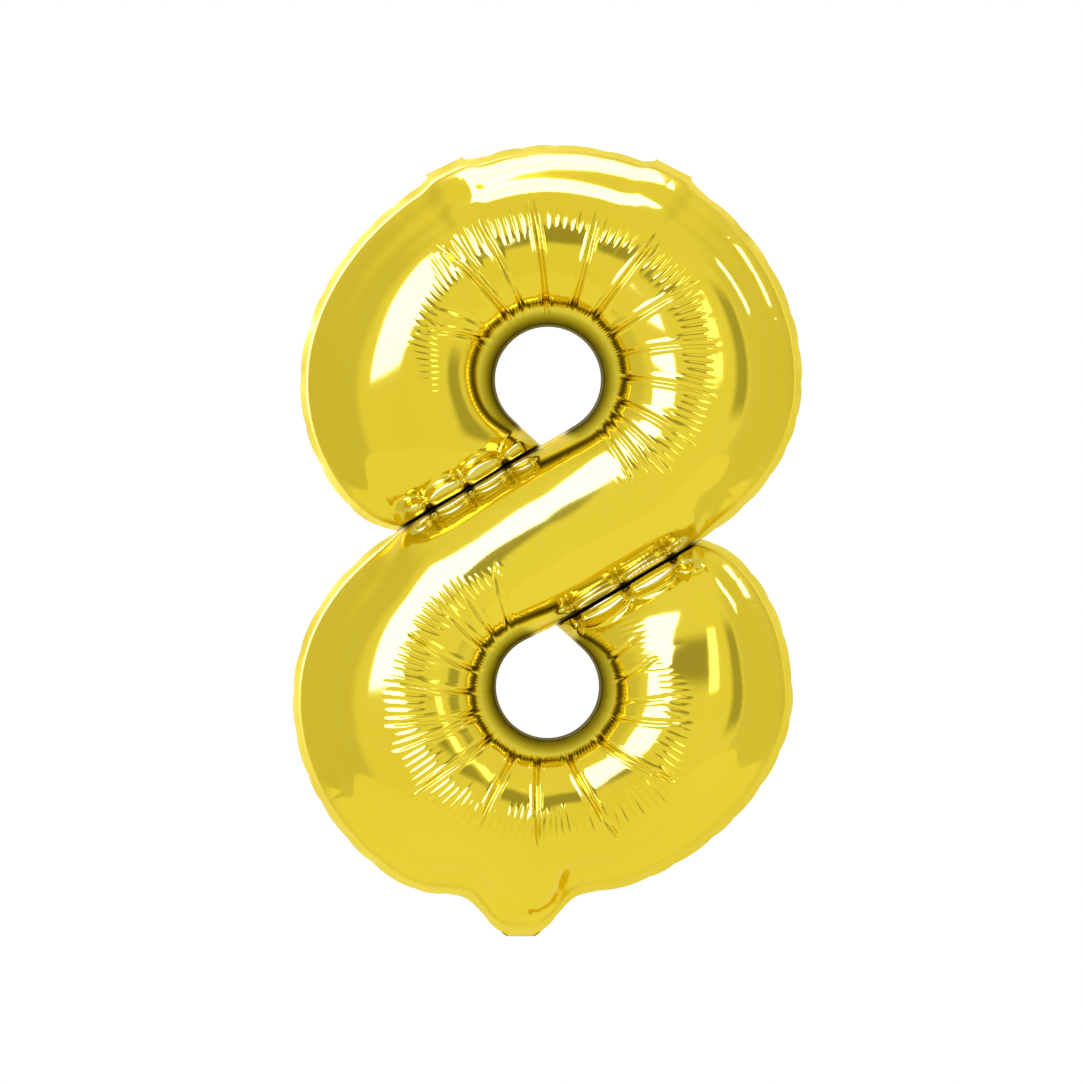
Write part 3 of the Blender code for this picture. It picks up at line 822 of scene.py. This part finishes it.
def grid_mesh(name, grid, flip):
    """A mesh of quads over a grid of points."""
    rows, columns = grid.shape[:2]
    index = np.arange(rows * columns).reshape(rows, columns)
    corners = (index[:-1, :-1], index[:-1, 1:], index[1:, 1:], index[1:, :-1])
    faces = np.stack(corners[::-1] if flip else corners, axis=-1).reshape(-1, 4)
    mesh = bpy.data.meshes.new(name)
    mesh.vertices.add(rows * columns)
    mesh.vertices.foreach_set("co", grid.reshape(-1).astype(np.float32))
    mesh.loops.add(faces.size)
    mesh.loops.foreach_set("vertex_index", faces.reshape(-1).astype(np.int32))
    mesh.polygons.add(len(faces))
    mesh.polygons.foreach_set("loop_start", np.arange(0, faces.size, 4, dtype=np.int32))
    mesh.polygons.foreach_set("loop_total", np.full(len(faces), 4, dtype=np.int32))
    mesh.update(calc_edges=True)
    mesh.shade_smooth()
    # the painted shade mask is kept on the points, beside the seam border's dullness
    for label, values in (("painted_shade", painted_crevice_shade(grid)), ("seam", seam_haze(grid))):
        mesh.attributes.new(label, "FLOAT", "POINT")
        mesh.attributes[label].data.foreach_set("value", values.reshape(-1).astype(np.float32))
    return mesh


# ---------------------------------------------------------------- tail and tabs
def placed(flat, line, fold):
    """Points (along the crease, away from it, height) of a strip folded back about its crease, in space."""
    point, run, outward = line
    back = np.array([0.0, 1.0, 0.0])
    run3, outward3 = np.array([run[0], 0, run[1]]), np.array([outward[0], 0, outward[1]])
    away = cos(radians(fold)) * outward3 + sin(radians(fold)) * back
    face = np.cross(run3, away)
    root = np.array([point[0], 0, point[1]])
    return root + flat[..., [0]] * run3 + flat[..., [1]] * away + flat[..., [2]] * face


def closed_mesh(name, grid, wrap_columns):
    """Quads over a grid whose rows wrap round, and whose columns do too when asked."""
    rows, columns = grid.shape[:2]
    index = np.arange(rows * columns).reshape(rows, columns)
    index = np.concatenate([index, index[:1]])
    if wrap_columns:
        index = np.concatenate([index, index[:, :1]], axis=1)
    corners = (index[:-1, :-1], index[:-1, 1:], index[1:, 1:], index[1:, :-1])
    faces = np.stack(corners, axis=-1).reshape(-1, 4)
    mesh = bpy.data.meshes.new(name)
    mesh.from_pydata(grid.reshape(-1, 3).tolist(), [], faces.tolist())
    mesh.shade_smooth()
    return mesh


def tab_mesh(name, line, seed):
    """A fused ear of film: two plies pressed into one, round corners, a punched hanging hole."""
    rng = np.random.default_rng(seed)
    t = np.radians(np.arange(0, 360, 2.5) + 1.25)
    ray = np.c_[np.cos(t), np.sin(t)]
    reach = np.full(len(t), 1.0)
    past_hole, half = TAB_LENGTH - TAB_HOLE_REACH, TAB_WIDTH / 2
    for *normal, distance in ((1, 0, half), (-1, 0, half), (0, 1, past_hole), (0, -1, TAB_HOLE_REACH)):
        facing = ray @ np.array(normal, float)
        reach = np.where(facing > 1e-6, np.minimum(reach, distance / np.maximum(facing, 1e-6)), reach)
    outline = ray * reach[:, None] + [0, TAB_HOLE_REACH]
    for sign in (-1, 1):
        corner = np.array([sign * (TAB_WIDTH / 2 - TAB_CORNER), TAB_LENGTH - TAB_CORNER])
        past = ((outline - corner) * [sign, 1] > 0).all(axis=1)
        off = outline[past] - corner
        outline[past] = corner + off * np.minimum(1, TAB_CORNER / np.linalg.norm(off, axis=1))[:, None]
    hole = ray * TAB_HOLE_RADIUS + [0, TAB_HOLE_REACH]
    share = np.array([0, 0.02, 0.1, 0.22, 0.36, 0.5, 0.64, 0.78, 0.9, 0.97, 1.0])[:, None, None]
    flat = hole[None] * (1 - share) + outline[None] * share
    edge = np.clip(np.minimum(share, 1 - share)[..., 0] / 0.02, 0, 1)
    ripple = 0.0004 * np.sin(flat[..., 0] / 0.0051 + rng.uniform(0, 6)) * np.sin(flat[..., 1] / 0.0083)
    ripple *= eased(0.0, 0.008, flat[..., 1])
    half = TAB_THICKNESS / 2 * np.sqrt(edge * (2 - edge)) * eased(-0.0004, 0.0012, flat[..., 1])
    top = np.concatenate([flat, (ripple + half)[..., None]], axis=2)
    under = np.concatenate([flat, (ripple - half)[..., None]], axis=2)[::-1][1:-1]
    grid = np.concatenate([top, under])
    return closed_mesh(name, placed(grid, line, TAB_FOLD), True)


def tail_mesh(name, line, side, seed):
    """One ply of the flat filling tail: sealed along both edges, its mouth's corners rounded."""
    rng = np.random.default_rng(seed)
    away = np.concatenate([[0, 0.0006, 0.0014], np.linspace(0.0028, TAIL_LENGTH, 60)])
    corner = np.clip(away - (TAIL_LENGTH - TAIL_CORNER), 0, TAIL_CORNER)
    half_width = TAIL_WIDTH / 2 - TAIL_CORNER + np.sqrt(TAIL_CORNER**2 - corner**2 * 0.999)
    half_width -= (TAIL_WIDTH - TAIL_ROOT) / 2 * (1 - eased(-0.004, 0.012, away))
    across_it = np.sin(np.linspace(-pi / 2, pi / 2, 41))
    u = half_width[:, None] * across_it[None]
    s = np.repeat(away[:, None], len(across_it), axis=1)
    seal = eased(0.0, 0.006, half_width[:, None] - np.abs(u))
    ripple = 0.0005 * np.sin(s / 0.0065 + 2.0 * np.sin(u / 0.012)) * seal * eased(0.004, 0.02, s)
    ripple += 0.0003 * wander(away, 0.012, rng)[:, None] * seal
    height = side * (TAIL_PLY * eased(0, 0.0028, s) * (0.55 + 0.45 * seal) + np.maximum(ripple, -0.0002))
    outer = np.stack([u, s, height + side * TAIL_SKIN], axis=-1)
    inner = np.stack([u, s, height - side * TAIL_SKIN], axis=-1)[:, ::-1]
    ring = np.concatenate([outer, inner], axis=1)
    return closed_mesh(name, placed(np.swapaxes(ring, 0, 1), line, TAIL_FOLD), False)


def add_piece(name, mesh, material, body, slot, *nodes):
    """A named piece of the looks, riding a body in place of the frame's nodes."""
    piece = bpy.data.objects.new(name, mesh)
    bpy.data.collections["balloon_pieces"].objects.link(piece)
    piece.data.materials.append(material)
    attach(piece, body)
    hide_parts(*nodes)


# ---------------------------------------------------------------- materials
def shader_of(material):
    """The material's node tree and its principled shader."""
    material.use_nodes = True
    return material.node_tree, material.node_tree.nodes["Principled BSDF"]


def node_math(tree, operation, *values):
    """A math node fed by sockets or numbers; returns its output."""
    node = tree.nodes.new("ShaderNodeMath")
    node.operation = operation
    for socket, value in zip(node.inputs, values):
        if isinstance(value, (int, float)):
            socket.default_value = value
        else:
            tree.links.new(value, socket)
    return node.outputs["Value"]


def ranged(tree, value, low, high, to_low=0.0, to_high=1.0, kind="LINEAR"):
    """The value brought from one range to another, and held inside it."""
    node = tree.nodes.new("ShaderNodeMapRange")
    node.interpolation_type = kind
    for label, limit in (("From Min", low), ("From Max", high), ("To Min", to_low), ("To Max", to_high)):
        node.inputs[label].default_value = limit
    tree.links.new(value, node.inputs["Value"])
    return node.outputs["Result"]


def noise(tree, scale, detail):
    """Noise in the object's own space."""
    place = tree.nodes.new("ShaderNodeTexCoord")
    node = tree.nodes.new("ShaderNodeTexNoise")
    node.inputs["Scale"].default_value = scale
    node.inputs["Detail"].default_value = detail
    tree.links.new(place.outputs["Object"], node.inputs["Vector"])
    return node.outputs["Fac"]


def attribute(tree, name):
    """A value stored at the mesh's points."""
    node = tree.nodes.new("ShaderNodeAttribute")
    node.attribute_name = name
    return node.outputs["Fac"]


def gold_foil():
    """Aluminium-coated film under yellow lacquer: a bright mirror with a faint haze and tiny dimples, its
    colour darkened and its lacquer thinned in folds and at hole rims as painted shade.
    """
    material = bpy.data.materials.new("gold_foil")
    tree, shader = shader_of(material)
    shader.inputs["Metallic"].default_value = 1.0
    shader.inputs["Coat Roughness"].default_value = 0.06
    shader.inputs["Specular Tint"].default_value = (0.95, 0.82, 0.22, 1)
    painted_shade = attribute(tree, "painted_shade")
    haze = ranged(tree, noise(tree, 9.0, 3.0), 0.3, 0.7, 0.07, 0.12)
    rough = node_math(tree, "MULTIPLY_ADD", attribute(tree, "seam"), 0.26, haze)
    rough = node_math(tree, "MULTIPLY_ADD", painted_shade, 0.12, rough)
    tree.links.new(rough, shader.inputs["Roughness"])
    # the clear lacquer thinned where shade is painted, so that no pale sheen lies over it
    lacquer = node_math(tree, "MULTIPLY_ADD", painted_shade, -0.35, 0.35)
    tree.links.new(lacquer, shader.inputs["Coat Weight"])
    ramp = tree.nodes.new("ShaderNodeValToRGB")
    tones = (0.3, (0.80, 0.615, 0.020, 1)), (0.7, (0.85, 0.668, 0.030, 1))
    for stop, (position, tone) in zip(ramp.color_ramp.elements, tones):
        stop.position = position
        stop.color = tone
    tree.links.new(noise(tree, 4.0, 2.0), ramp.inputs["Fac"])
    colour = ramp.outputs["Color"]
    # painted shade: the colour goes towards a paler, duller tone and then towards a dark olive where the
    # painted shade mask is high
    for start, stop, tone in ((0.0, 0.45, (0.70, 0.59, 0.085, 1)), (0.40, 1.0, (0.135, 0.104, 0.007, 1))):
        mixed = tree.nodes.new("ShaderNodeMix")
        mixed.data_type = "RGBA"
        mixed.inputs["B"].default_value = tone
        tree.links.new(ranged(tree, painted_shade, start, stop), mixed.inputs["Factor"])
        tree.links.new(colour, mixed.inputs["A"])
        colour = mixed.outputs["Result"]
    tree.links.new(colour, shader.inputs["Base Color"])
    bump = tree.nodes.new("ShaderNodeBump")
    bump.inputs["Strength"].default_value = 0.05
    bump.inputs["Distance"].default_value = 0.0004
    tree.links.new(noise(tree, 260.0, 2.0), bump.inputs["Height"])
    tree.links.new(bump.outputs["Normal"], shader.inputs["Normal"])
    return material


def clear_film():
    """Thin clear plastic of the valve."""
    material = bpy.data.materials.new("clear_film")
    tree, shader = shader_of(material)
    shader.inputs["Base Color"].default_value = (0.90, 0.92, 0.93, 1)
    shader.inputs["Alpha"].default_value = 0.35
    tree.links.new(ranged(tree, noise(tree, 60.0, 2.0), 0.3, 0.7, 0.10, 0.28), shader.inputs["Roughness"])
    return material


# ---------------------------------------------------------------- studio
def floor_disc():
    """A plain white floor well below the hanging figure."""
    bpy.ops.mesh.primitive_circle_add(vertices=96, radius=1.9, fill_type="NGON", location=(0, 0, -1.15))
    floor = bpy.context.object
    floor.name = "studio_floor"
    material = bpy.data.materials.new("floor_white")
    tree, shader = shader_of(material)
    tree.links.new(ranged(tree, noise(tree, 3.0, 2.0), 0.3, 0.7, 0.75, 0.85), shader.inputs["Roughness"])
    shader.inputs["Base Color"].default_value = (0.86, 0.86, 0.85, 1)
    shader.inputs["Emission Color"].default_value = (1, 1, 0.99, 1)
    shader.inputs["Emission Strength"].default_value = 0.22
    floor.data.materials.append(material)


def softbox(name, location, target, size, radiance, tint):
    """A rectangular light panel of even brightness, aimed at a point."""
    light = bpy.data.lights.new(name, "AREA")
    light.shape = "RECTANGLE"
    light.size, light.size_y = size
    light.color = tint
    light.energy = radiance * pi * size[0] * size[1]
    panel = bpy.data.objects.new(name, light)
    panel.location = location
    panel.rotation_euler = (Vector(target) - Vector(location)).to_track_quat("-Z", "Y").to_euler()
    panel.visible_camera = False
    panel.light_linking.receiver_collection = bpy.data.collections["balloon_pieces"]
    bpy.context.scene.collection.objects.link(panel)


def within(tree, angle, low, high, soft):
    """1 where the angle lies between two angles in degrees, fading over soft degrees outside them."""
    rise = ranged(tree, angle, radians(low - soft), radians(low), kind="SMOOTHSTEP")
    fall = ranged(tree, angle, radians(high + soft), radians(high), kind="SMOOTHSTEP")
    return node_math(tree, "MULTIPLY", rise, fall)


def studio_world():
    """White surroundings, seen plain by the camera, with dimmer stretches of wall behind the camera."""
    world = bpy.data.worlds.new("studio")
    bpy.context.scene.world = world
    world.use_nodes = True
    tree = world.node_tree
    tree.nodes.clear()
    out = tree.nodes.new("ShaderNodeOutputWorld")
    place = tree.nodes.new("ShaderNodeTexCoord")
    parts = tree.nodes.new("ShaderNodeSeparateXYZ")
    tree.links.new(place.outputs["Generated"], parts.inputs["Vector"])
    x, y, z = (parts.outputs[k] for k in "XYZ")
    azimuth = node_math(tree, "ARCTAN2", x, node_math(tree, "MULTIPLY", y, -1.0))
    elevation = node_math(tree, "ARCSINE", z)
    level = ROOM_LIGHT
    for *across_it, low, high, soft, change in WALLS:
        card = within(tree, azimuth, *across_it), within(tree, elevation, low, high, soft)
        card = node_math(tree, "MULTIPLY", *card)
        level = node_math(tree, "MULTIPLY", level, node_math(tree, "MULTIPLY_ADD", card, change - 1.0, 1.0))
    room = tree.nodes.new("ShaderNodeBackground")
    tree.links.new(level, room.inputs["Strength"])
    seen = tree.nodes.new("ShaderNodeBackground")
    path = tree.nodes.new("ShaderNodeLightPath")
    mix = tree.nodes.new("ShaderNodeMixShader")
    for background in (room, seen):
        background.inputs["Color"].default_value = (1, 1, 1, 1)
    tree.links.new(path.outputs["Is Camera Ray"], mix.inputs["Fac"])
    tree.links.new(room.outputs["Background"], mix.inputs[1])
    tree.links.new(seen.outputs["Background"], mix.inputs[2])
    tree.links.new(mix.outputs["Shader"], out.inputs["Surface"])


def camera():
    """Straight on to the front, from far away."""
    data = bpy.data.cameras.new("camera")
    data.sensor_width = 36
    data.lens = 36 * CAMERA_DISTANCE / FRAME_WIDTH
    view = bpy.data.objects.new("camera", data)
    view.location = (FRAME_CENTRE[0], -CAMERA_DISTANCE, FRAME_CENTRE[1])
    view.rotation_euler = (pi / 2, 0, 0)
    bpy.context.scene.collection.objects.link(view)
    bpy.context.scene.camera = view


NICKS = {0: seam_nicks(np.random.default_rng(5), 1.9), -1: seam_nicks(np.random.default_rng(8), 1.9)}
pieces = bpy.data.collections.new("balloon_pieces")
bpy.context.scene.collection.children.link(pieces)
foil, clear = gold_foil(), clear_film()
for panel, side, seed in (("front", -1, 11), ("rear", 1, 23)):
    mesh = grid_mesh(panel + "_film", skin_points(side, seed), side < 0)
    add_piece(panel + "_film", mesh, foil, "balloon", "gold_foil", panel + "_panel")

tail_line, left_line, right_line = creases()
for panel, side, seed in (("front", -1, 41), ("rear", 1, 43)):
    mesh = tail_mesh(f"tail_{panel}_film", tail_line, side, seed)
    add_piece(f"tail_{panel}_film", mesh, foil, "tail", "gold_foil", f"tail_{panel}_ply")
for hand, line, seed in (("left", left_line, 51), ("right", right_line, 53)):
    mesh = tab_mesh(f"hanging_tab_{hand}", line, seed)
    add_piece(f"hanging_tab_{hand}", mesh, foil, f"tab_{hand}", "gold_foil", f"hang_tab_{hand}")
for node in ("valve_duct_front_ply", "valve_duct_rear_ply", "valve_flap_front", "valve_flap_rear"):
    piece = bpy.data.objects[node]
    piece.data.materials.clear()
    piece.data.materials.append(clear)

floor_disc()
studio_world()
for name, setting in SOFTBOXES.items():
    softbox(name, *setting)
camera()
bpy.context.scene.view_settings.view_transform = "Standard"
